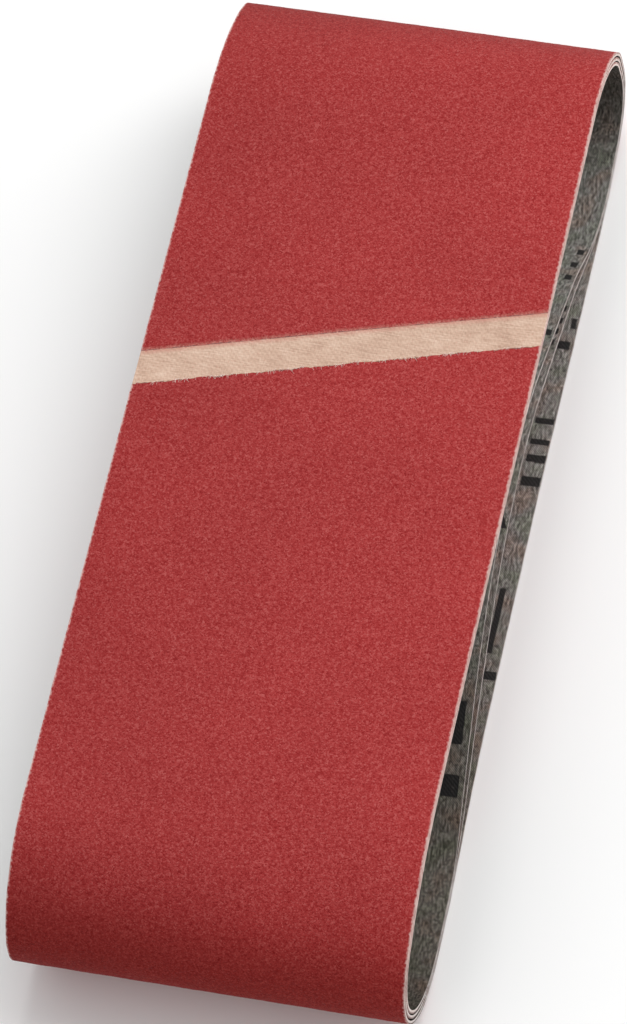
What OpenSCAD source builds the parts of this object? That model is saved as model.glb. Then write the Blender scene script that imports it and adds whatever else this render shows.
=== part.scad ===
// Three endless cloth sanding belts for a hand-held belt sander, nested one inside the other
// and pressed flat, as they come out of the pack.
// Millimetres. +X is across the belts, +Y is along the flattened loops, +Z is up.
// The origin is under the middle of the outer belt, on the surface that it lies on.

/* [Belt size] */
// Width of each belt, across the rollers of the machine
belt_w = 100; // [60:1:110]
// Length of each belt, measured round the middle of its thickness
belt_len = 610; // [606:1:612]
// Height of the flattened outer loop, over its outside faces
loop_h = 52; // [51.5:0.1:52.5]

/* [Layers of a belt] */
// Thickness of the woven cloth backing
cloth_t = 0.55; // [0.45:0.01:0.6]
// Thickness of the resin make coat that holds the grain to the cloth
resin_t = 0.08; // [0.06:0.01:0.1]
// Thickness of the abrasive grain with its size coat
grain_t = 0.32; // [0.26:0.01:0.34]
// Free gap between one belt and the next
belt_gap = 0.2; // [0.18:0.01:0.24]

/* [Loop ends] */
// Tip radius of the outer belt's bends
tip_r = 18; // [17.5:0.1:18.5]
// Length of a shoulder, over which the outer belt rounds down from its flat top to the tip
shoulder_len = 38; // [37.5:0.1:38.5]
// Length of a heel, over which the outer belt rounds from the tip into its flat underside
heel_len = 27; // [26:0.5:30]

/* [Middle belt] */
// Height of the crest of its lower strand, at mid thickness
middle_crest_z = 27; // [26.8:0.1:28]
// Place of the crest along the loop
middle_crest_y = 4.5; // [3:0.1:5]
// Radius over the crest
middle_crest_r = 110; // [105:1:112]
// Slope of the lower strand on the far side of the crest, in degrees
middle_far_slope = 21; // [20.5:0.1:22]
// Slope of the lower strand on the near side of the crest, in degrees
middle_near_slope = 22; // [21.5:0.1:23]
// Radius at the foot of the far slope
middle_far_foot_r = 40; // [38:1:43]
// Radius at the foot of the near slope
middle_near_foot_r = 60; // [56:1:64]

/* [Inner belt] */
// Height of the crest of its lower strand, at mid thickness
inner_crest_z = 39; // [38.8:0.1:39.5]
// Place of the crest along the loop
inner_crest_y = 1; // [0.5:0.1:1.5]
// Radius over the crest
inner_crest_r = 95; // [90:1:97]
// Slope of the lower strand on the far side of the crest, in degrees
inner_far_slope = 26.5; // [26:0.1:27]
// Slope of the lower strand on the near side of the crest, in degrees
inner_near_slope = 30.5; // [30:0.1:31.5]
// Radius at the foot of the far slope
inner_far_foot_r = 18; // [15:1:20]
// Radius at the foot of the near slope
inner_near_foot_r = 25; // [22:1:28]

/* [Lap joint] */
// Length of the lap, which is bare of grain, measured square to the joint
lap_w = 9.6; // [8:0.1:12]
// Angle of the joint to the belt's width, in degrees
lap_skew = 16; // [10:0.5:20]
// Thickness of the adhesive film between the two tapered ends
film_t = 0.05; // [0.04:0.01:0.08]
// Strip of make coat left bare of grain along each side of the lap
resin_fringe = 0.4; // [0.2:0.1:0.8]
// Place of the outer belt's joint along its top strand
outer_lap_y = 28; // [0:0.5:60]
// Place of the middle belt's joint along its top strand
middle_lap_y = -42; // [-60:0.5:60]
// Place of the inner belt's joint along its top strand
inner_lap_y = 58; // [-60:0.5:60]

/* [Hidden] */

// Largest turn between two points of an arc, in degrees
arc_step = 3;
cloth_colour = "#d9b594";
resin_colour = "#7c2f2c";
grain_colour = "#a8323a";
film_colour = "#c9a24a";

belt_t = cloth_t + resin_t + grain_t;
pitch = belt_t + belt_gap;
// Offsets of the layers' faces from the belt's mid thickness, outwards
cloth_in = -belt_t / 2;
cloth_out = cloth_in + cloth_t;
resin_out = cloth_out + resin_t;
grain_out = belt_t / 2;
// Longer than any belt is wide, so that it cuts right across at the skew
cut_len = 1.5 * belt_w;

// A strand is a list of segments: [length, 0, 0] is straight, and [0, radius, turn] is an arc
// that turns left by turn degrees, or right where turn is negative.
function straight(length) = [length, 0, 0];
function arc(radius, turn) = [0, radius, turn];
function arc_len(radius, turn) = radius * abs(turn) * PI / 180;
function seg_len(seg) = seg[0] + arc_len(seg[1], seg[2]);
function total_len(path, i = 0) = i == len(path) ? 0 : seg_len(path[i]) + total_len(path, i + 1);

// A quarter of a bend is a tip arc and a flatter shoulder arc: it goes run along and rise up.
function shoulder_turn(run, rise, tip) = 2 * atan((rise - tip) / (run - tip));
function shoulder_r(run, rise, tip) = tip + (run - tip) / sin(shoulder_turn(run, rise, tip));

// A whole bend, from a strand that it leaves over run_a to one that it joins over run_b
function bend(run_a, run_b, rise, tip) =
    let (a = shoulder_turn(run_a, rise, tip), b = shoulder_turn(run_b, rise, tip))
    [arc(shoulder_r(run_a, rise, tip), a), arc(tip, 180 - a - b), arc(shoulder_r(run_b, rise, tip), b)];

// One side of a hump is a foot arc, a straight ramp and half of the crest arc: radii is the
// sum of the two radii.
function ramp_len(height, slope, radii) = (height - radii * (1 - cos(slope))) / sin(slope);
function side_run(height, slope, radii) =
    radii * sin(slope) + ramp_len(height, slope, radii) * cos(slope);

function hump(height, near_slope, far_slope, near_foot_r, far_foot_r, crest_r) = [
    arc(near_foot_r, near_slope),
    straight(ramp_len(height, near_slope, near_foot_r + crest_r)),
    arc(crest_r, -near_slope - far_slope),
    straight(ramp_len(height, far_slope, far_foot_r + crest_r)),
    arc(far_foot_r, far_slope)];

// The whole loop, counter-clockwise from the near end of the lower strand, as
// [start point, segments]. level counts the belts outside this one. The top strand's length
// makes the loop belt_len long, and the flats at the feet of the hump close it. The hump takes
// up the length by which the belt is longer than the space inside its neighbour.
function loop(level, crest_y, hump_path, near_run, far_run) =
    let (
        inset = belt_t / 2 + level * pitch,
        rise = loop_h / 2 - inset,
        shoulder = shoulder_len - inset,
        heel = heel_len - inset,
        tip = tip_r - inset,
        far_bend = bend(heel, shoulder, rise, tip),
        near_bend = bend(shoulder, heel, rise, tip),
        slack = total_len(hump_path) - near_run - far_run,
        spread = shoulder - heel,
        top = (belt_len - total_len(far_bend) - total_len(near_bend) - slack) / 2 - spread,
        far_end = top / 2 + spread)
    [[-far_end, inset], concat(
        [straight(crest_y - near_run + far_end)], hump_path,
        [straight(far_end - crest_y - far_run)], far_bend, [straight(top)], near_bend)];

outer_loop = loop(0, 0, [], 0, 0);

middle_rise = middle_crest_z - belt_t / 2 - pitch;
middle_loop = loop(1, middle_crest_y,
    hump(middle_rise, middle_near_slope, middle_far_slope,
        middle_near_foot_r, middle_far_foot_r, middle_crest_r),
    side_run(middle_rise, middle_near_slope, middle_near_foot_r + middle_crest_r),
    side_run(middle_rise, middle_far_slope, middle_far_foot_r + middle_crest_r));

inner_rise = inner_crest_z - belt_t / 2 - 2 * pitch;
inner_loop = loop(2, inner_crest_y,
    hump(inner_rise, inner_near_slope, inner_far_slope,
        inner_near_foot_r, inner_far_foot_r, inner_crest_r),
    side_run(inner_rise, inner_near_slope, inner_near_foot_r + inner_crest_r),
    side_run(inner_rise, inner_far_slope, inner_far_foot_r + inner_crest_r));

// Place and heading after a segment
function step(pose, seg) =
    let (a = pose[2], b = a + seg[2], r = sign(seg[2]) * seg[1])
    [pose[0] + seg[0] * cos(a) + r * (sin(b) - sin(a)),
     pose[1] + seg[0] * sin(a) - r * (cos(b) - cos(a)), b];

// Place and heading at the start of every segment
function walk(path, pose, i = 0) =
    i == len(path) ? [] : concat([pose], walk(path, step(pose, path[i]), i + 1));

// The first part of a segment
function part_of(seg, share) = [seg[0] * share, seg[1], seg[2] * share];
function steps(seg) = max(1, ceil(abs(seg[2]) / arc_step));

// The points of a loop moved outwards, which is to the right of the heading
function outline(belt, outwards) =
    let (path = belt[1], poses = walk(path, concat(belt[0], [0])))
    [for (i = [0 : len(path) - 1], k = [0 : steps(path[i]) - 1])
        let (pose = step(poses[i], part_of(path[i], k / steps(path[i]))))
        [pose[0] + outwards * sin(pose[2]), pose[1] - outwards * cos(pose[2])]];

// A layer all the way round a loop, between two outward offsets
module layer(belt, d_in, d_out) {
    inside = outline(belt, d_in);
    outside = outline(belt, d_out);
    count = len(inside);
    rotate([90, 0, 90]) translate([0, 0, -belt_w / 2]) linear_extrude(belt_w)
        polygon(concat(outside, inside),
            [[for (i = [0 : count - 1]) i], [for (i = [0 : count - 1]) count + i]]);
}

// Height of a belt's mid thickness along its top strand
function top_z(level) = loop_h - belt_t / 2 - level * pitch;

// A block across the top strand along the joint, between two heights
module across(lap_y, width, z_low, z_high) {
    translate([0, lap_y, (z_low + z_high) / 2]) rotate([0, 0, lap_skew])
        cube([cut_len, width, z_high - z_low], center = true);
}

// The slanting space between the two tapered ends, filled by the adhesive film
module scarf(lap_y, level) {
    translate([0, lap_y, top_z(level) + (cloth_in + cloth_out) / 2]) rotate([0, 0, lap_skew])
        rotate([-atan(cloth_t / lap_w), 0, 0]) cube([cut_len, 1.3 * lap_w, film_t], center = true);
}

// Woven cloth, with its two ends tapered where they lap
module cloth_backing(belt, level, lap_y) {
    color(cloth_colour) difference() {
        layer(belt, cloth_in, cloth_out);
        scarf(lap_y, level);
    }
}

// Resin that holds the grain, ground off along the lap
module make_coat(belt, level, lap_y) {
    color(resin_colour) difference() {
        layer(belt, cloth_out, resin_out);
        across(lap_y, lap_w - 2 * resin_fringe, top_z(level), top_z(level) + belt_t);
    }
}

// Abrasive grain in its size coat, ground off along the lap
module abrasive_coat(belt, level, lap_y) {
    color(grain_colour) difference() {
        layer(belt, resin_out, grain_out);
        across(lap_y, lap_w, top_z(level), top_z(level) + belt_t);
    }
}

// Adhesive film, as thick as the gap between the tapered ends
module joint_film(level, lap_y) {
    color(film_colour) intersection() {
        scarf(lap_y, level);
        translate([-belt_w / 2, lap_y - belt_w / 2, top_z(level) + cloth_in])
            cube([belt_w, belt_w, cloth_t]);
    }
}

cloth_backing(outer_loop, 0, outer_lap_y);  // outer_cloth_backing
make_coat(outer_loop, 0, outer_lap_y);  // outer_make_coat
abrasive_coat(outer_loop, 0, outer_lap_y);  // outer_abrasive_coat
joint_film(0, outer_lap_y);  // outer_joint_film
cloth_backing(middle_loop, 1, middle_lap_y);  // middle_cloth_backing
make_coat(middle_loop, 1, middle_lap_y);  // middle_make_coat
abrasive_coat(middle_loop, 1, middle_lap_y);  // middle_abrasive_coat
joint_film(1, middle_lap_y);  // middle_joint_film
cloth_backing(inner_loop, 2, inner_lap_y);  // inner_cloth_backing
make_coat(inner_loop, 2, inner_lap_y);  // inner_make_coat
abrasive_coat(inner_loop, 2, inner_lap_y);  // inner_abrasive_coat
joint_film(2, inner_lap_y);  // inner_joint_film
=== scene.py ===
import math
import bmesh
import bpy
import numpy as np
from mathutils import Matrix, Vector


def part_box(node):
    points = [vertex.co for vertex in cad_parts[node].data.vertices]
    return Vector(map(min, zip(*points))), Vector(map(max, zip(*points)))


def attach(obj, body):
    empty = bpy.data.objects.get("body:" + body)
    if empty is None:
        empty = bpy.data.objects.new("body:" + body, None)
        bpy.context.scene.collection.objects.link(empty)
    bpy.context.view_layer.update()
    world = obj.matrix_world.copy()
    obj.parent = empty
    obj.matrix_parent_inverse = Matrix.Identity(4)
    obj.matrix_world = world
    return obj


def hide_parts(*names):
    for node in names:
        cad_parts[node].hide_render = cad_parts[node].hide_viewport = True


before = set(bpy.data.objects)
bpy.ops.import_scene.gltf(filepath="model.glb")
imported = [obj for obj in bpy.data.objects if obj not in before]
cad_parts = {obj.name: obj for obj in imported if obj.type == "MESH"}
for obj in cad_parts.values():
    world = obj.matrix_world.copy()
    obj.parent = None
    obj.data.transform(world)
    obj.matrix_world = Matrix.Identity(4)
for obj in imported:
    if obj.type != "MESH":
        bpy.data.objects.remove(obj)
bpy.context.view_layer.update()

# Three nested sanding belts. Lengths are in millimetres until a mesh is made.
# +X is across the belts, +Y along the flattened loops, +Z up from the face they lie on.
MM = 0.001
low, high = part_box("outer_abrasive_coat")
BELT_W = (high.x - low.x) / MM
LOOP_H = (high.z - low.z) / MM
BELT_LEN = 610.0
CLOTH_T, RESIN_T, GRAIN_T, BELT_GAP = 0.55, 0.08, 0.32, 0.2
BELT_T = CLOTH_T + RESIN_T + GRAIN_T
PITCH = BELT_T + BELT_GAP
# The cloth's faces, as outward offsets from the belt's mid thickness
CLOTH_IN = -BELT_T / 2
CLOTH_OUT = CLOTH_IN + CLOTH_T
TIP_R = 18.0
LAP_W, LAP_SKEW = 9.6, math.radians(16)
LAP_RUN = LAP_W / math.cos(LAP_SKEW)
# Points at which the lower strand is sampled to turn a place y into s
STRAND_STEPS = 1200
SEED, WAVE_SEED = 11, 3


# ---------------------------------------------------------------- the loops' paths
# A segment is (length, radius, turn): straight, or an arc that turns left by turn radians.

def shoulder(run, rise, tip):
    """(turn, radius) of the arc that rounds a strand off into the tip of a bend"""
    turn = 2 * math.atan((rise - tip) / (run - tip))
    return turn, tip + (run - tip) / math.sin(turn)


def bend(run_a, run_b, rise, tip):
    """The half turn at one end of a loop: arc, tip, arc"""
    (a, r_a), (b, r_b) = shoulder(run_a, rise, tip), shoulder(run_b, rise, tip)
    return [(0, r_a, a), (0, tip, math.pi - a - b), (0, r_b, b)]


def path_len(path):
    return sum(length + radius * abs(turn) for length, radius, turn in path)


def ramp(height, slope, radii):
    """Length of the straight between two arcs that together rise by height"""
    return (height - radii * (1 - math.cos(slope))) / math.sin(slope)


def hump(height, near_slope, far_slope, near_foot, far_foot, crest):
    """(path, run on the near side of the crest, run on the far side)"""
    near, far = math.radians(near_slope), math.radians(far_slope)
    near_ramp, far_ramp = ramp(height, near, near_foot + crest), ramp(height, far, far_foot + crest)
    path = [(0, near_foot, near), (near_ramp, 0, 0), (0, crest, -near - far), (far_ramp, 0, 0),
            (0, far_foot, far)]
    return (path, (near_foot + crest) * math.sin(near) + near_ramp * math.cos(near),
            (far_foot + crest) * math.sin(far) + far_ramp * math.cos(far))


class Loop:
    """A belt's mid thickness at one of its edges, as a closed line. s is the length along it in
    millimetres, from the top strand at y = 0 towards the near end. Each end has a shoulder
    above, where it rounds down from the top strand, and a heel below."""

    def __init__(self, ends, level, crest_y=0.0, raised=([], 0.0, 0.0)):
        inset = BELT_T / 2 + level * PITCH
        rise, tip = LOOP_H / 2 - inset, TIP_R - inset
        near_shoulder, near_heel, far_shoulder, far_heel = (run - inset for run in ends[:4])
        far_bend = bend(far_heel, far_shoulder, rise, tip)
        near_bend = bend(near_shoulder, near_heel, rise, tip)
        strand, near_run, far_run = raised
        slack = path_len(strand) - near_run - far_run
        shoulders, heels = near_shoulder + far_shoulder, near_heel + far_heel
        top = (BELT_LEN - path_len(far_bend) - path_len(near_bend) - slack - shoulders + heels) / 2
        near_tip = ends[4] - (top + shoulders) / 2
        far_tip = near_tip + top + shoulders
        path = [(crest_y - near_run - near_tip - near_heel, 0, 0), *strand,
                (far_tip - far_heel - crest_y - far_run, 0, 0), *far_bend, (top, 0, 0), *near_bend]
        self.length, self.radius, self.turn = np.array(path, float).T
        ends_at = np.cumsum(self.length + self.radius * np.abs(self.turn))
        self.start, self.total = np.concatenate([[0], ends_at[:-1]]), ends_at[-1]
        self.origin = self.start[-4] + far_tip - far_shoulder
        self.inset, self.lower_end = inset, self.start[-7] + self.length[-7]
        poses = [(near_tip + near_heel, inset, 0.0)]
        for segment in path[:-1]:
            poses.append(self.step(poses[-1], *segment))
        self.pose = np.array(poses)

    @staticmethod
    def step(pose, length, radius, turn):
        """The pose (y, z, heading) at the end of a segment that starts at pose"""
        y, z, a = pose
        b, r = a + turn, np.sign(turn) * radius
        return (y + length * np.cos(a) + r * (np.sin(b) - np.sin(a)),
                z + length * np.sin(a) - r * (np.cos(b) - np.cos(a)), b)

    def at(self, s, outwards):
        """(y, z) at s along the loop, moved outwards, and 1 on the lower strand or 0 elsewhere"""
        s = np.mod(s + self.origin, self.total)
        i = np.clip(np.searchsorted(self.start, s, side="right") - 1, 0, len(self.start) - 1)
        along, bent = s - self.start[i], self.radius[i] > 0
        turn = np.where(bent, np.sign(self.turn[i]) * along / np.where(bent, self.radius[i], 1), 0)
        y, z, a = self.step(tuple(np.moveaxis(self.pose[i], -1, 0)), np.where(bent, 0, along),
                            self.radius[i], turn)
        return y + outwards * np.sin(a), z - outwards * np.cos(a), (s < self.lower_end) * 1.0

    def below(self, y):
        """s at the place y on the lower strand"""
        s = np.linspace(-self.origin, self.lower_end - self.origin, STRAND_STEPS)
        return float(np.interp(y, self.at(s, 0)[0], s))


def hump_rise(level, crest_z):
    """How far a belt's lower strand is raised to put its crest at crest_z"""
    return crest_z - BELT_T / 2 - level * PITCH


# The ends of the loops round off differently at the left and the right edge of the belts:
# near shoulder, near heel, far shoulder, far heel, and how far the whole edge sits towards +Y
LEFT_ENDS, RIGHT_ENDS = (31.4, 33.1, 41.1, 27.0, -0.5), (49.0, 28.6, 31.5, 27.0, 0.3)
SHAPES = {
    "outer": (0,),
    "middle": (1, 4.5, hump(hump_rise(1, 27.0), 22, 21, 60, 40, 110)),
    "inner": (2, 1.0, hump(hump_rise(2, 39.0), 30.5, 26.5, 25, 18, 95)),
}
# A raised lower strand also leans to the left. The lean grows along Y between the first two
# places, and is gone again between the last two.
LEAN = {"outer": 0.0, "middle": 2.05, "inner": 2.15}
LEAN_GROWS, LEAN_ENDS = (-100, 35), (80, 112)
# The lower side of the whole pack sits to the right: by how much at the near and the far end,
# and over which distances from y = 0 that grows
NEAR_SHIFT, NEAR_SHIFT_GROWS = 1.17, (40, 112)
FAR_SHIFT, FAR_SHIFT_GROWS = 0.57, (20, 105)
# Height and size of the waves of the top strands
WAVE, WAVE_CELL = 0.35, 55
# y of each lap's middle on the top strand
LAPS = {"outer": 28.0, "middle": -42.0, "inner": 58.0}
# The far heel is pushed out at the right edge, in directions around one from a point (y, z), and
# only from HEEL_FROM beyond that point
HEEL_AT, HEEL_ANGLE, HEEL_SPREAD, HEEL_PUSH = (118, 26), math.radians(-40.6), math.radians(50), 4.8
HEEL_FROM = -10
BELTS = {name: (Loop(LEFT_ENDS, *shape), Loop(RIGHT_ENDS, *shape), LEAN[name])
         for name, shape in SHAPES.items()}


# ---------------------------------------------------------------- how the loops lie

def smooth(value, start, end):
    """0 up to start, 1 from end on, and a smooth step between them"""
    t = np.clip((value - start) / (end - start), 0, 1)
    return t * t * (3 - 2 * t)


def field(u, v, cell, seed):
    """Smooth noise from -1 to 1 over the plane, with bumps about a cell across"""
    size, offset = 64, 500
    grid = np.random.default_rng(seed).uniform(-1, 1, (size, size))
    u, v = np.asarray(u) / cell + offset, np.asarray(v) / cell + offset
    i, j = np.floor(u).astype(int), np.floor(v).astype(int)
    fu, fv = u - i, v - j
    fu, fv = fu * fu * (3 - 2 * fu), fv * fv * (3 - 2 * fv)
    a, b = grid[i % size, j % size], grid[(i + 1) % size, j % size]
    c, d = grid[i % size, (j + 1) % size], grid[(i + 1) % size, (j + 1) % size]
    return (a * (1 - fu) + b * fu) * (1 - fv) + (c * (1 - fu) + d * fu) * fv


def settle(x, y, z):
    """The slight waves of loose cloth, the sideways shift of the lower side, and the fuller far
    heel at the right edge. All belts share it, so that they stay apart."""
    away_y, away_z = y - HEEL_AT[0], z - HEEL_AT[1]
    radius = np.hypot(away_y, away_z)
    off = np.clip(np.abs(np.arctan2(away_z, away_y) - HEEL_ANGLE) / HEEL_SPREAD, 0, 1)
    push = HEEL_PUSH * np.cos(off * math.pi / 2) ** 2 * np.clip(radius / TIP_R, 0, 1)
    push = push * (x / BELT_W + 0.5) * (away_y > HEEL_FROM) / np.maximum(radius, 1)
    y, z = y + push * away_y, z + push * away_z
    up = np.clip(z / LOOP_H, 0, 1)
    shift = NEAR_SHIFT * smooth(-y, *NEAR_SHIFT_GROWS) + FAR_SHIFT * smooth(y, *FAR_SHIFT_GROWS)
    return x + (1 - up) * shift, y, z + up * WAVE * field(x, y, WAVE_CELL, WAVE_SEED)


def place(belt, s, x, outwards):
    """Points of the row frame, in metres, on a layer of a belt"""
    left, right, lean = belt
    share = x / BELT_W + 0.5
    (y_l, z_l, low_l), (y_r, z_r, low_r) = left.at(s, outwards), right.at(s, outwards)
    y, z, low = y_l + (y_r - y_l) * share, z_l + (z_r - z_l) * share, np.minimum(low_l, low_r)
    lean = lean * low * smooth(y, *LEAN_GROWS) * (1 - smooth(y, *LEAN_ENDS))
    x, y, z = settle(x, y, z)
    return np.stack([x - lean, y, z], -1) * MM


# ---------------------------------------------------------------- meshes

# Faces that meet at more than this stay crisp
CRISP = math.radians(40)
# A direction that no thread runs in
ASKEW = [0.3, 0.2, 1.0]


def grid_quads(rows, cols, first=0):
    """Faces of a grid of points that are numbered row by row from first"""
    i, j = np.meshgrid(np.arange(rows - 1), np.arange(cols - 1), indexing="ij")
    at, below = i * cols + j, (i + 1) * cols + j
    return first + np.stack([at, at + 1, below + 1, below], -1).reshape(-1, 4)


def strip(loop, s, x, d_in, d_out, bulge=0.03, ragged=0.0, lap=None):
    """(points, faces, slots, uv, lap) of a closed solid of cloth or coating. s, x, d_in and d_out
    are (rows, columns) arrays: the places along and across the belt, and the outward offsets of
    its faces. The slit edges bulge, and the outer face's are ragged. Slot 0 is the outer face, 1
    the inner face and 2 the cut edges."""
    rows, cols = s.shape
    x_out = x + ragged * np.where(np.arange(cols) % (cols - 1) == 0, 1, 0)
    middle = (d_in + d_out) / 2
    rims = [place(loop, s[:, k], x[:, k] + sign * bulge, middle[:, k])
            for k, sign in ((0, -1), (-1, 1))]
    points = np.concatenate([place(loop, s, x_out, d_out).reshape(-1, 3),
                             place(loop, s, x, d_in).reshape(-1, 3), *rims])
    lap = np.zeros_like(s) if lap is None else lap

    def all_points(a):
        return np.concatenate([a.ravel(), a.ravel(), a[:, 0], a[:, -1]])

    uv = np.stack([all_points(x), all_points(s)], -1) * MM
    n = rows * cols
    i = np.arange(rows - 1)
    j = i + 1
    edges = []
    for side, k in ((0, 0), (1, cols - 1)):
        rim = 2 * n + side * rows
        for face in (0, n):
            edges.append(np.stack([face + i * cols + k, rim + i, rim + j, face + j * cols + k], -1))
    k = np.arange(cols - 1)
    for row in (0, rows - 1):
        edges.append(np.stack([row * cols + k, row * cols + k + 1,
                               n + row * cols + k + 1, n + row * cols + k], -1))
        for side, k_end in ((0, 0), (1, cols - 1)):
            edges.append(np.array([[row * cols + k_end, 2 * n + side * rows + row,
                                    n + row * cols + k_end]]))
    faces = [grid_quads(rows, cols), grid_quads(rows, cols, n), *edges]
    slots = np.concatenate([np.full(len(block), min(at, 2)) for at, block in enumerate(faces)])
    return points, [f for block in faces for f in block.tolist()], slots, uv, all_points(lap)


def joined(parts):
    """Several strips' data as one"""
    first, points, faces, slots, uv, lap = 0, [], [], [], [], []
    for part in parts:
        points.append(part[0])
        faces += [[first + v for v in f] for f in part[1]]
        slots.append(part[2])
        uv.append(part[3])
        lap.append(part[4])
        first += len(part[0])
    return (np.concatenate(points), faces, np.concatenate(slots), np.concatenate(uv),
            np.concatenate(lap))


def piece(name, data, materials, body):
    """A mesh object from a strip's data, riding on a body and finished as the slot says"""
    points, faces, slots, uv, lap = data
    mesh = bpy.data.meshes.new(name)
    mesh.from_pydata(points.tolist(), [], faces)
    for material in materials:
        mesh.materials.append(material)
    slots = np.minimum(slots, len(materials) - 1)
    mesh.polygons.foreach_set("material_index", slots.astype(np.int32))
    work = bmesh.new()
    work.from_mesh(mesh)
    bmesh.ops.recalc_face_normals(work, faces=work.faces)
    work.to_mesh(mesh)
    work.free()
    corners = np.empty(len(mesh.loops), np.int32)
    mesh.loops.foreach_get("vertex_index", corners)
    mesh.uv_layers.new(name="belt").data.foreach_set("uv", uv[corners].astype(np.float32).ravel())
    mesh.attributes.new("lap", "FLOAT", "POINT").data.foreach_set("value", lap.astype(np.float32))
    mesh.polygons.foreach_set("use_smooth", np.ones(len(mesh.polygons), bool))
    mesh.set_sharp_from_angle(angle=CRISP)
    mesh.update()
    obj = bpy.data.objects.new(name, mesh)
    bpy.context.scene.collection.objects.link(obj)
    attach(obj, body)
    return obj


def fibres(loop, runs, radius):
    """Thin threads, each a list of (s, x, outwards) places, that taper towards their free ends"""
    sides, end_share, parts = 5, 0.4, []
    for run in runs:
        s, x, d = np.array(run).T
        line = place(loop, s, x, d)
        ahead = np.gradient(line, axis=0)
        ahead /= np.linalg.norm(ahead, axis=1)[:, None]
        across = np.cross(ahead, ASKEW)
        across /= np.linalg.norm(across, axis=1)[:, None]
        third = np.cross(ahead, across)
        turn = np.arange(sides) * 2 * np.pi / sides
        thin = radius * MM * np.linspace(1, end_share, len(line))[:, None, None]
        round_it = (across[:, None] * np.cos(turn)[None, :, None]
                    + third[:, None] * np.sin(turn)[None, :, None])
        points = (line[:, None] + thin * round_it).reshape(-1, 3)
        faces = [[a * sides + k, a * sides + (k + 1) % sides, (a + 1) * sides + (k + 1) % sides,
                  (a + 1) * sides + k] for a in range(len(line) - 1) for k in range(sides)]
        faces += [list(range(sides)), list(range((len(line) - 1) * sides, len(line) * sides))]
        uv = np.repeat(np.stack([x, s], -1), sides, 0) * MM
        parts.append((points, faces, np.zeros(len(faces), int), uv, np.zeros(len(points))))
    return joined(parts)


# ---------------------------------------------------------------- materials

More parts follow.
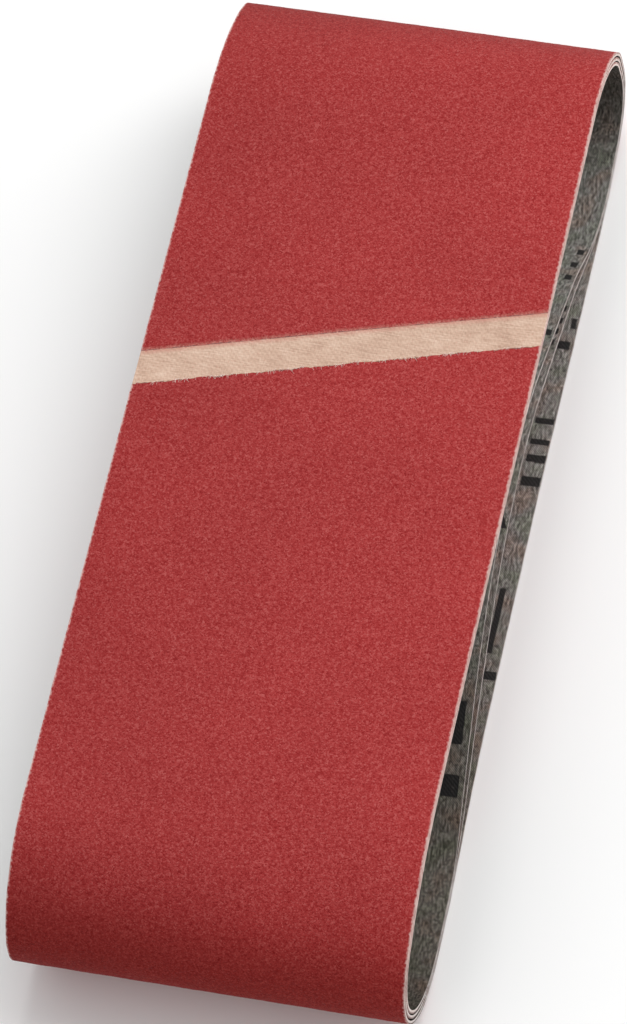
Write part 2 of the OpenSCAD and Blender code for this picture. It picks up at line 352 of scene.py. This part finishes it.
class Nodes:
    """Short calls for building one material's nodes"""

    def __init__(self, name, **shader):
        self.material = bpy.data.materials.new(name)
        self.material.use_nodes = True
        self.tree = self.material.node_tree
        self.shader = self.tree.nodes["Principled BSDF"]
        for key, value in shader.items():
            self.shader.inputs[key.replace("_", " ")].default_value = value
        self.uv = self.add("ShaderNodeUVMap", uv_map="belt").outputs["UV"]

    def add(self, kind, inputs=(), **settings):
        node = self.tree.nodes.new(kind)
        for key, value in settings.items():
            setattr(node, key, value)
        for key, value in dict(inputs).items():
            self.set(node.inputs[key], value)
        return node

    def set(self, socket, value):
        if isinstance(value, bpy.types.NodeSocket):
            self.tree.links.new(value, socket)
        else:
            socket.default_value = value

    def math(self, operation, a, b=0.0, c=0.0, clamp=False):
        inputs = {0: a, 1: b} if c == 0.0 else {0: a, 1: b, 2: c}
        return self.add("ShaderNodeMath", inputs, operation=operation, use_clamp=clamp).outputs[0]

    def scaled(self, along=1.0, across=1.0, turn=0.0):
        """Belt coordinates, stretched and turned"""
        node = self.add("ShaderNodeMapping", {"Vector": self.uv})
        node.inputs["Scale"].default_value = (across, along, 1)
        node.inputs["Rotation"].default_value = (0, 0, turn)
        return node.outputs[0]

    def noise(self, size, detail=2.0, vector=None, rough=0.5):
        """Noise from 0 to 1 with bumps about size metres across"""
        return self.add("ShaderNodeTexNoise", {"Vector": vector or self.uv, "Scale": 1 / size,
                                               "Detail": detail, "Roughness": rough}).outputs[0]

    def grains(self, size, output="Color"):
        """A random colour for each grain, or the distance from its middle"""
        node = self.add("ShaderNodeTexVoronoi", {"Vector": self.uv, "Scale": 1 / size},
                        feature="F1", voronoi_dimensions="3D")
        return node.outputs[output]

    def ramp(self, value, *stops):
        """Colour from a value, with (value, colour) stops"""
        node = self.add("ShaderNodeValToRGB", {"Fac": value})
        element = node.color_ramp.elements
        while len(element) < len(stops):
            element.new(0.5)
        for point, (at, colour) in zip(element, stops):
            point.position = at
            point.color = (*colour, 1)
        return node.outputs[0]

    def mix(self, share, a, b, blend="MIX"):
        node = self.add("ShaderNodeMix", data_type="RGBA", blend_type=blend, clamp_result=False)
        for at, value in ((0, share), (6, a), (7, b)):
            if isinstance(value, tuple) and len(value) == 3:
                value = (*value, 1)
            self.set(node.inputs[at], value)
        return node.outputs[2]

    def times(self, colour, factor):
        """A colour multiplied by another"""
        return self.mix(1.0, colour, factor, "MULTIPLY")

    def lap(self):
        """Millimetres from the ground side of the lap, on the pieces that carry it"""
        return self.add("ShaderNodeAttribute", attribute_name="lap").outputs["Fac"]

    def weave(self, pitch, twill=False):
        """Height from 0 to 1 of crossing threads"""
        x, s = self.split()
        if twill:
            diagonal = self.math("ADD", x, s)
            wave = self.math("SINE", self.math("MULTIPLY", diagonal, 2 * math.pi / pitch))
            ribs = self.math("SINE", self.math("MULTIPLY", x, 4 * math.pi / pitch))
            return self.math("MULTIPLY_ADD", self.math("ADD", wave, self.math("MULTIPLY", ribs, 0.5)),
                             0.33, 0.5)
        up = self.math("SINE", self.math("MULTIPLY", x, math.pi / pitch))
        over = self.math("SINE", self.math("MULTIPLY", s, math.pi / pitch))
        return self.math("MULTIPLY_ADD", self.math("MULTIPLY", up, over), 0.5, 0.5)

    def round_belt(self, waves):
        """Cosine with so many waves in a turn of the belt, 1 in the middle of the top strand"""
        angle = self.math("MULTIPLY", self.split()[1], waves * 2 * math.pi / (BELT_LEN * MM))
        return self.math("COSINE", angle)

    def at_bends(self, sharpness):
        """1 at the tips of the bends, 0 in the middle of the strands"""
        swing = self.round_belt(2)
        return self.math("POWER", self.math("MULTIPLY_ADD", swing, -0.5, 0.5), sharpness)

    def below(self):
        """0 on the top strand, 1 from the heels on along the lower strand"""
        return self.math("MULTIPLY_ADD", self.round_belt(1), -3.0, 0.6, clamp=True)

    def split(self):
        """(x, s): the places across and along the belt, in metres"""
        node = self.add("ShaderNodeSeparateXYZ", {0: self.uv})
        return node.outputs[0], node.outputs[1]

    def bump(self, *layers):
        """Bumps from (height, distance in metres, strength) layers, finest last"""
        normal = None
        for height, distance, strength in layers:
            node = self.add("ShaderNodeBump", {"Height": height, "Distance": distance,
                                               "Strength": strength})
            if normal is not None:
                self.set(node.inputs["Normal"], normal)
            normal = node.outputs[0]
        self.set(self.shader.inputs["Normal"], normal)

    def done(self, colour, roughness):
        self.set(self.shader.inputs["Base Color"], colour)
        self.set(self.shader.inputs["Roughness"], roughness)
        return self.material


def abrasive_material():
    """Red grain in its size coat, ground pale beside the joint and chipped along the slit edges.
    Painted light makes it lighter towards the right edge, and painted shade darkens it round the
    bends."""
    n = Nodes("abrasive_grain", IOR=1.45)
    n.shader.inputs["Specular IOR Level"].default_value = 0.14
    grain = n.grains(GRAIN_SIZE)
    tone = n.add("ShaderNodeSeparateColor", {0: grain}).outputs
    clump = n.noise(0.0011, 2.0)
    patch = n.noise(0.045, 3.0)
    value = n.math("ADD", n.math("MULTIPLY", tone[0], 0.55), n.math("MULTIPLY", clump, 0.45))
    colour = n.ramp(value, (0.18, (0.255, 0.013, 0.014)), (0.42, (0.335, 0.030, 0.030)),
                    (0.62, (0.385, 0.046, 0.045)), (0.86, (0.475, 0.098, 0.092)))
    colour = n.times(colour, n.ramp(patch, (0.3, (0.95, 0.95, 0.95)), (0.7, (1.05, 1.05, 1.05))))
    # Painted light from the right: 7% darker at the left edge and 7% lighter at the right one
    across = n.math("MULTIPLY_ADD", n.split()[0], 1.4, 1.0)
    painted_side_light = n.add("ShaderNodeCombineXYZ", {0: across, 1: across, 2: across}).outputs[0]
    colour = n.times(colour, painted_side_light)
    # Painted shade: darker round the bends
    colour = n.mix(n.at_bends(22.0), colour, n.times(colour, (0.62, 0.34, 0.28)))
    ground = n.math("SUBTRACT", 1.0, n.math("DIVIDE", n.lap(), 0.9), clamp=True)
    ground = n.math("MULTIPLY", ground, n.math("ADD", 0.15, tone[1]), clamp=True)
    colour = n.mix(ground, colour, (0.52, 0.21, 0.17))
    # Grows over the last half millimetre before a slit edge
    out = n.math("MULTIPLY_ADD", n.math("ABSOLUTE", n.split()[0]), 1800.0, -89.2)
    chipped = n.math("ADD", out, n.math("MULTIPLY_ADD", n.noise(0.0009, 3.0), 2.4, -1.2), clamp=True)
    colour = n.mix(n.math("MULTIPLY", chipped, 0.85), colour, (0.74, 0.50, 0.46))
    pits = n.grains(GRAIN_SIZE, "Distance")
    n.bump((n.noise(0.004, 2.0), 0.0002, 0.25), (clump, 0.0002, 0.5),
           (n.math("SUBTRACT", 1.0, pits), 0.00012, 0.9))
    return n.done(colour, n.math("MULTIPLY_ADD", tone[2], 0.30, 0.58))


def resin_material():
    """Dark red-brown resin that shows as a thin line under the grain"""
    n = Nodes("make_coat_resin", IOR=1.52)
    patch, fine = n.noise(0.006, 3.0), n.noise(0.0005, 2.0)
    colour = n.ramp(n.math("MULTIPLY_ADD", patch, 0.6, n.math("MULTIPLY", fine, 0.4)),
                    (0.3, (0.10, 0.018, 0.014)), (0.7, (0.24, 0.05, 0.036)))
    n.bump((fine, 0.0001, 0.5), (patch, 0.0003, 0.2))
    return n.done(colour, n.math("MULTIPLY_ADD", fine, 0.3, 0.3))


def bare_cloth_material():
    """Tan woven cloth where the joint is ground bare, stained red along its far side"""
    n = Nodes("bare_cloth", IOR=1.45, Sheen_Weight=0.25, Sheen_Roughness=0.6)
    streak = n.noise(0.0009, 3.0, n.scaled(along=2.4, across=0.22, turn=-LAP_SKEW), rough=0.6)
    warp = n.noise(0.0006, 2.0, n.scaled(along=0.3, across=2.0))
    patch = n.noise(0.009, 2.0)
    value = n.math("ADD", n.math("MULTIPLY", streak, 0.5),
                   n.math("ADD", n.math("MULTIPLY", warp, 0.25), n.math("MULTIPLY", patch, 0.25)))
    colour = n.ramp(value, (0.30, (0.37, 0.215, 0.15)), (0.5, (0.595, 0.40, 0.295)),
                    (0.68, (0.76, 0.57, 0.45)))
    stain = n.math("SUBTRACT", 1.0, n.math("DIVIDE", n.lap(), 1.6), clamp=True)
    specks = n.math("GREATER_THAN", n.noise(0.0005, 1.0), 0.66)
    stain = n.math("MAXIMUM", n.math("MULTIPLY", stain, n.noise(0.0012, 2.0)),
                   n.math("MULTIPLY", specks, 0.22))
    colour = n.mix(stain, colour, (0.50, 0.12, 0.10))
    n.bump((n.weave(0.0007), 0.00012, 0.6), (streak, 0.0001, 0.4))
    return n.done(colour, 0.88)


def inside_cloth_material():
    """Brown-grey twill on the running side of the belt, with slubs and worn patches. Painted shade
    darkens it round the bends and on the near half of the lower strand."""
    n = Nodes("inside_twill", IOR=1.45)
    n.shader.inputs["Specular IOR Level"].default_value = 0.2
    twill = n.weave(0.00062, twill=True)
    slub = n.noise(0.00075, 2.0, n.scaled(along=0.35, across=1.5))
    patch, fine = n.noise(0.008, 3.0), n.noise(0.00055, 3.0, rough=0.7)
    value = n.math("ADD", n.math("MULTIPLY", twill, 0.14),
                   n.math("ADD", n.math("MULTIPLY", slub, 0.36), n.math("MULTIPLY", fine, 0.5)))
    colour = n.ramp(value, (0.38, (0.034, 0.032, 0.029)), (0.49, (0.175, 0.163, 0.148)),
                    (0.61, (0.54, 0.52, 0.49)))
    tint = n.ramp(patch, (0.35, (0.86, 0.93, 0.82)), (0.5, (1.0, 1.0, 1.0)),
                  (0.66, (1.08, 0.90, 0.82)))
    colour = n.times(colour, tint)
    # Painted shade: darker round the bends
    colour = n.mix(n.at_bends(16.0), colour, n.times(colour, (0.30, 0.27, 0.25)))
    # Painted shade on the near half of the lower strand: 1 up to s = 0.225 m, and 0 from 0.308 m,
    # about its middle
    near = n.math("MULTIPLY_ADD", n.split()[1], -12.0, 3.7, clamp=True)
    colour = n.mix(near, colour, n.times(colour, (0.66, 0.62, 0.58)))
    n.bump((twill, 0.00012, 0.7), (fine, 0.0001, 0.6))
    return n.done(colour, 0.9)


def cut_edge_material():
    """Cream thread ends along the slit edges, greyed by painted shade along the lower strands"""
    n = Nodes("cut_cloth_edge", IOR=1.45, Sheen_Weight=0.3, Sheen_Roughness=0.5)
    thread = n.noise(0.00055, 3.0, n.scaled(along=1.0, across=0.2))
    patch = n.noise(0.008, 2.0)
    value = n.math("ADD", n.math("MULTIPLY", thread, 0.75), n.math("MULTIPLY", patch, 0.25))
    colour = n.ramp(value, (0.3, (0.50, 0.33, 0.28)), (0.5, (0.78, 0.60, 0.53)),
                    (0.7, (0.93, 0.81, 0.74)))
    # Painted shade: greyer and darker along the lower strands
    colour = n.mix(n.below(), colour, n.times(colour, (0.78, 0.86, 0.91)))
    n.bump((thread, 0.0002, 0.8))
    return n.done(colour, 0.9)


def dusty_edge_material():
    """Slit edge of the coating: red grain under pale dust and fibre, darker below with painted shade
    """
    n = Nodes("slit_coating_edge", IOR=1.45)
    n.shader.inputs["Specular IOR Level"].default_value = 0.2
    dust = n.noise(0.0007, 3.0, n.scaled(along=1.0, across=0.3))
    colour = n.ramp(dust, (0.32, (0.36, 0.11, 0.10)), (0.5, (0.61, 0.36, 0.32)),
                    (0.68, (0.80, 0.60, 0.55)))
    # Painted shade: darker along the lower strands
    colour = n.mix(n.below(), colour, n.times(colour, (0.30, 0.46, 0.48)))
    n.bump((dust, 0.00015, 0.6))
    return n.done(colour, 0.9)


def film_material():
    """Amber adhesive film"""
    n = Nodes("joint_adhesive", IOR=1.5)
    flow, fine = n.noise(0.003, 2.0), n.noise(0.0004, 2.0)
    colour = n.ramp(flow, (0.3, (0.20, 0.075, 0.04)), (0.7, (0.42, 0.22, 0.12)))
    n.bump((flow, 0.0001, 0.4), (fine, 0.00004, 0.3))
    return n.done(colour, n.math("MULTIPLY_ADD", flow, 0.3, 0.25))


def ink_material():
    """Black ink that the weave breaks up"""
    n = Nodes("print_ink", IOR=1.45)
    twill, fine = n.weave(0.0011, twill=True), n.noise(0.0009, 4.0, rough=0.65)
    worn = n.math("MULTIPLY_ADD", fine, 0.9, n.math("MULTIPLY", twill, 0.1))
    colour = n.ramp(worn, (0.45, (0.008, 0.007, 0.007)), (0.62, (0.022, 0.018, 0.017)),
                    (0.78, (0.12, 0.11, 0.095)))
    n.bump((twill, 0.00012, 0.7), (fine, 0.00006, 0.3))
    return n.done(colour, n.math("MULTIPLY_ADD", fine, 0.3, 0.6))


def floor_material():
    """Matt and nearly white, very slightly uneven"""
    n = Nodes("pale_floor", IOR=1.4)
    n.shader.inputs["Specular IOR Level"].default_value = 0.1
    coords = n.add("ShaderNodeTexCoord").outputs["Object"]
    cloud = n.noise(0.5, 2.0, coords)
    colour = n.ramp(cloud, (0.3, (0.955, 0.955, 0.953)), (0.7, (0.975, 0.975, 0.973)))
    return n.done(colour, 0.9)


# ---------------------------------------------------------------- one belt's pieces

# Size of a grain, in metres
GRAIN_SIZE = 0.00034
# The resin's fringe beside the ground grain, and the runs over which the two thin out
RESIN_FRINGE, RESIN_RUN, GROUND_RUN = 0.1, 1.8, 1.2
# Thread pitch of the lap's face, and how far and over what run its cut end lifts
THREAD, LIFT, LIFT_RUN = 0.7, 0.09, 2.5
# Thickness of the cloth's thin start, and of the adhesive with its bead at the cut end
START_T, FILM_T, BEAD = 0.05, 0.03, 0.05
FRAY_R, FRAY_STEPS = 0.06, 5
# Columns across a belt and rows along it. The outer belt's grain, lap and fray are finer.
CLOTH_GRID, RESIN_GRID, FILM_GRID = (33, 620), (101, 420), (161, 24)
GRAIN_GRID = {True: (161, 300), False: (101, 300)}
FACE_GRID = {True: (501, 56), False: (251, 30)}
FRAYED = {True: 150, False: 60}

abrasive, resin, bare_cloth = abrasive_material(), resin_material(), bare_cloth_material()
inside_cloth, cut_edge = inside_cloth_material(), cut_edge_material()
dusty_edge = dusty_edge_material()
film, ink = film_material(), ink_material()


def columns(count):
    """Places x across the belt"""
    return np.linspace(-BELT_W / 2, BELT_W / 2, count)


def spread(first, last, x, rows, crowded=0.0):
    """s from first to last, both functions of x, as (rows, columns) with x beside it. The rows
    can be crowded towards both ends, by a share below 1."""
    share = np.linspace(0, 1, rows)[:, None]
    share = share - crowded * np.sin(2 * math.pi * share) / (2 * math.pi)
    s = first[None] * (1 - share) + last[None] * share
    return s, np.broadcast_to(x, s.shape).copy()


def make_belt(name, fine):
    """All the pieces of one belt"""
    loop, lap_y = BELTS[name], LAPS[name]
    body = f"{name}_belt"
    seed = SEED + list(BELTS).index(name) * 20

    def far_side(x):
        """Where the lap's soft, ground side is: the top ply runs on from here to its cut end"""
        return -(lap_y + x * math.tan(LAP_SKEW)) - LAP_RUN / 2

    def cut_end(x):
        """Where the top ply is cut, a little jagged"""
        jag = 0.2 * field(x, 0 * x, 0.6, seed) + 0.13 * field(x, 0 * x, 2.7, seed + 1)
        return far_side(x) + LAP_RUN + jag

    # Cloth: one strip that starts under the lap and ends on top of it, tapered at both ends
    count, rows = CLOTH_GRID
    x = columns(count)
    s, xs = spread(far_side(x), far_side(x) + BELT_LEN + LAP_RUN, x, rows)
    from_start = np.clip((s - s[:1]) / LAP_RUN, 0, 1)
    to_end = np.clip((s - s[-1:] + LAP_RUN) / LAP_RUN, 0, 1)
    lower = CLOTH_IN + (CLOTH_T - 0.16) * to_end
    upper = CLOTH_IN + START_T + (CLOTH_T - START_T) * from_start - 0.10 * smooth(to_end, 0, 0.1)
    edge = 0.06 * field(s, xs, 2.3, seed + 2)
    cloth = piece(f"{name}_cloth", strip(loop, s, xs, lower, upper, ragged=edge),
                  [bare_cloth, inside_cloth, cut_edge], body)
    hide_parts(f"{name}_cloth_backing")

    # The bare woven face of the top ply, with its threads in relief
    count, rows = FACE_GRID[fine]
    x = columns(count)
    s, xs = spread(far_side(x) - 1.0, cut_end(x), x, rows)
    over = np.sin(xs * math.pi / THREAD) * np.sin(s * math.pi / THREAD)
    relief = 0.016 * np.tanh(2.5 * over) + 0.030 * field(xs, s, 0.45, seed + 3)
    lifted = LIFT * smooth(s - far_side(x)[None], LAP_RUN - LIFT_RUN, LAP_RUN)
    across = np.clip(s - far_side(x)[None], 0, None)
    face = piece(f"{name}_lap_face",
                 strip(loop, s, xs, CLOTH_OUT - 0.13 + lifted, CLOTH_OUT - 0.02 + relief + lifted,
                       lap=across), [bare_cloth, bare_cloth, cut_edge], body)

    # Adhesive: the slanting film, squeezed out in a thin bead along the cut end
    count, rows = FILM_GRID
    x = columns(count)
    s, xs = spread(far_side(x) + 0.2, cut_end(x) + 0.12, x, rows)
    share = np.clip((s - far_side(x)[None]) / LAP_RUN, 0, 1)
    bead = BEAD * smooth(share, 0.97, 1.0) * (1 + 0.7 * field(xs, s, 1.2, seed + 4))
    bottom = CLOTH_IN + START_T + (CLOTH_T - START_T) * share
    glue = piece(f"{name}_joint_adhesive", strip(loop, s, xs, bottom, bottom + FILM_T + bead),
                 [film], body)
    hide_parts(f"{name}_joint_film")

    # Make coat: round from the cut end to the ground side, where a fringe of it stays
    count, rows = RESIN_GRID
    x = columns(count)
    s, xs = spread(cut_end(x) + 0.05, far_side(x) + BELT_LEN + RESIN_FRINGE, x, rows)
    fringe = 0.005 + 0.075 * smooth(s[-1:] - s, 0, RESIN_RUN)
    chips = 0.07 * field(s, xs, 1.1, seed + 5)
    coat = piece(f"{name}_resin",
                 strip(loop, s, xs, np.full_like(s, CLOTH_OUT), CLOTH_OUT + fringe, ragged=chips),
                 [resin, resin, dusty_edge], body)
    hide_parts(f"{name}_make_coat")

    # Grain: crisp against the cut end, ground down towards the other side
    count, rows = GRAIN_GRID[fine]
    x = columns(count)
    soft = 0.12 * field(x, 0 * x, 2.2, seed + 6) + 0.12 * field(x, 0 * x, 0.8, seed + 7)
    bare = 0.22 + 0.25 * np.clip(field(x, 0 * x, 0.9, seed + 12), -0.6, 1)
    s, xs = spread(cut_end(x) + bare, far_side(x) + BELT_LEN + soft, x, rows, crowded=0.9)
    left = s[-1:] - s
    bottom = CLOTH_OUT + 0.01 + 0.07 * smooth(left, 0, RESIN_RUN)
    grit = 0.02 * np.random.default_rng(seed + 8).uniform(-1, 1, s.shape)
    grit += 0.015 * field(xs, s, 2.0, seed + 9)
    level = 0.01 + (GRAIN_T - 0.04 + grit) * smooth(left, -0.3, GROUND_RUN)
    chips = 0.10 * field(s, xs, 0.9, seed + 10)
    grain = piece(f"{name}_grain",
                  strip(loop, s, xs, bottom, bottom + level, ragged=chips, lap=left),
                  [abrasive, abrasive, dusty_edge], body)
    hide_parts(f"{name}_abrasive_coat")

    # Threads that fray from the cut end
    draw = np.random.default_rng(seed + 11)
    runs = []
    for _ in range(FRAYED[fine]):
        at = draw.uniform(-BELT_W / 2 + 1, BELT_W / 2 - 1)
        reach, lean = draw.uniform(0.3, 1.1), draw.normal(0, 0.7)
        start = float(cut_end(np.array([at]))[0]) - 0.4
        steps = np.linspace(0, 1, FRAY_STEPS)
        curl = draw.normal(0, 0.25)
        rise = CLOTH_OUT + 0.06 + (GRAIN_T + 0.03) * smooth(steps, 0.1, 0.5)
        runs.append(np.stack([start + (0.4 + reach) * steps,
                              at + lean * reach * steps + curl * steps * (1 - steps), rise], -1))
    threads = piece(f"{name}_frayed_threads", fibres(loop, runs, FRAY_R), [cut_edge], body)

    printed = piece(f"{name}_print", joined(marks(loop, PRINTS[name])), [ink], body)


# Printed marks lie on the cloth's inner face, and reach a little into it. They repeat twice round
# the belt. Each row of them is shifted across the belt, and along it by a share of the repeat.
INK_OUT, INK_IN = 0.03, 0.02
PRINT_TURNS = 2
PRINT_ROWS = [(0, 0), (-34, 0.37), (-64, 0.71), (-89, 0.18)]
# (y on the lower strand, x, length, width, and a wedge's width at its other end)
PRINTS = {
    "outer": [(72.5, 48.8, 3.0, 1.3), (66.0, 46.9, 2.4, 4.4), (36.7, 47.3, 1.6, 5.0),
              (43.0, 47.3, 1.7, 5.0), (31.4, 47.3, 2.2, 5.0), (24.2, 47.3, 2.8, 5.0),
              (-25.4, 46.6, 19.0, 1.5), (-33.0, 47.2, 2.4, 5.2)],
    "middle": [(72.5, 48.2, 2.3, 2.4), (67.6, 48.2, 2.3, 2.4), (63.4, 48.0, 2.3, 2.4),
               (59.0, 47.9, 2.3, 2.4), (-12.0, 47.6, 9.0, 1.4), (-3.0, 47.6, 5.5, 4.2, 0.3),
               (-60.0, 46.8, 2.4, 5.0), (-66.0, 46.8, 2.4, 5.0)],
    "inner": [(57.0, 48.3, 2.6, 2.0), (81.3, 48.1, 2.2, 1.8), (87.0, 48.1, 2.2, 1.8),
              (92.5, 48.1, 2.2, 1.8), (-45.0, 45.8, 5.0, 4.0), (-60.5, 46.4, 11.0, 3.6),
              (-72.0, 46.4, 5.6, 4.4)],
}


def bar(loop, s, x, length, width, end_width=None):
    """A printed bar, or a wedge, along the belt from s"""
    end = width if end_width is None else end_width
    rows, cols = max(3, int(length / 1.5) + 1), 5
    share = np.linspace(0, 1, rows)[:, None]
    ss = np.broadcast_to(s + length * share, (rows, cols))
    xx = x + (width + (end - width) * share) * np.linspace(-0.5, 0.5, cols)[None]
    return strip(loop, ss, xx, np.full(ss.shape, CLOTH_IN - INK_OUT),
                 np.full(ss.shape, CLOTH_IN + INK_IN), bulge=0.0)


def marks(belt, prints):
    """Plain bars, blocks and wedges, in rows across the belt and round it"""
    parts = []
    for turn in range(PRINT_TURNS):
        for shift_x, shift_s in PRINT_ROWS:
            start = (turn + shift_s) * BELT_LEN / PRINT_TURNS
            for y, x, *size in prints:
                parts.append(bar(belt, start + belt[1].below(y), x + shift_x, *size))
    return parts


for belt in BELTS:
    make_belt(belt, fine=belt == "outer")


# ---------------------------------------------------------------- floor, light and camera

def make_floor():
    """A plain floor, just under the belts"""
    mesh = bpy.data.meshes.new("floor")
    size, count, height = 6.0, 13, -0.0002
    line = np.linspace(-size / 2, size / 2, count)
    points = [(a, b, height) for a in line for b in line]
    mesh.from_pydata(points, [], grid_quads(count, count)[:, ::-1].tolist())
    mesh.materials.append(floor_material())
    floor = bpy.data.objects.new("floor", mesh)
    bpy.context.scene.collection.objects.link(floor)


def area_light(name, place_at, target, size, power):
    """A round softbox that faces the target"""
    light = bpy.data.lights.new(name, "AREA")
    light.shape, light.size, light.energy = "DISK", size, power
    obj = bpy.data.objects.new(name, light)
    obj.location = place_at
    obj.rotation_euler = (Vector(target) - Vector(place_at)).to_track_quat("-Z", "Y").to_euler()
    bpy.context.scene.collection.objects.link(obj)


def make_world():
    """White straight above, and greyer towards the horizon"""
    world = bpy.data.worlds.new("studio")
    world.use_nodes = True
    nodes, links = world.node_tree.nodes, world.node_tree.links
    coords, height = nodes.new("ShaderNodeTexCoord"), nodes.new("ShaderNodeSeparateXYZ")
    dome = nodes.new("ShaderNodeValToRGB")
    dome.color_ramp.elements[0].color = (0.36, 0.36, 0.36, 1)
    dome.color_ramp.elements[1].color = (1, 1, 1, 1)
    links.new(coords.outputs["Generated"], height.inputs[0])
    links.new(height.outputs[2], dome.inputs[0])
    links.new(dome.outputs[0], nodes["Background"].inputs["Color"])
    nodes["Background"].inputs["Strength"].default_value = 0.83
    bpy.context.scene.world = world


def make_camera():
    """Well back with a long lens, looking down over the right side of the belts"""
    camera = bpy.data.cameras.new("camera")
    camera.sensor_width, camera.lens = SENSOR, LENS
    camera.clip_start, camera.clip_end = 0.1, 20
    obj = bpy.data.objects.new("camera", camera)
    bpy.context.scene.collection.objects.link(obj)
    stand = Matrix((RIGHT, UP, BACK)).transposed().to_4x4()
    stand.translation = EYE
    obj.matrix_world = stand
    bpy.context.scene.camera = obj


# In metres, but for the camera's sensor and lens, which are in millimetres
SENSOR, LENS = 36, 219.7
EYE = (0.26866, -0.73316, 1.41784)
RIGHT = Vector((0.97396, 0.21293, -0.07788))
UP = Vector((-0.15046, 0.86396, 0.48053))
BACK = Vector((0.16961, -0.45633, 0.87352))

make_floor()
area_light("key", (0.3, 0.75, 1.4), (0, 0.03, 0.03), 1.6, 14.5)
area_light("fill_right", (1.2, 1.0, 0.8), (0, 0, 0.03), 0.9, 4)
make_world()
make_camera()
bpy.context.scene.view_settings.view_transform = "Standard"
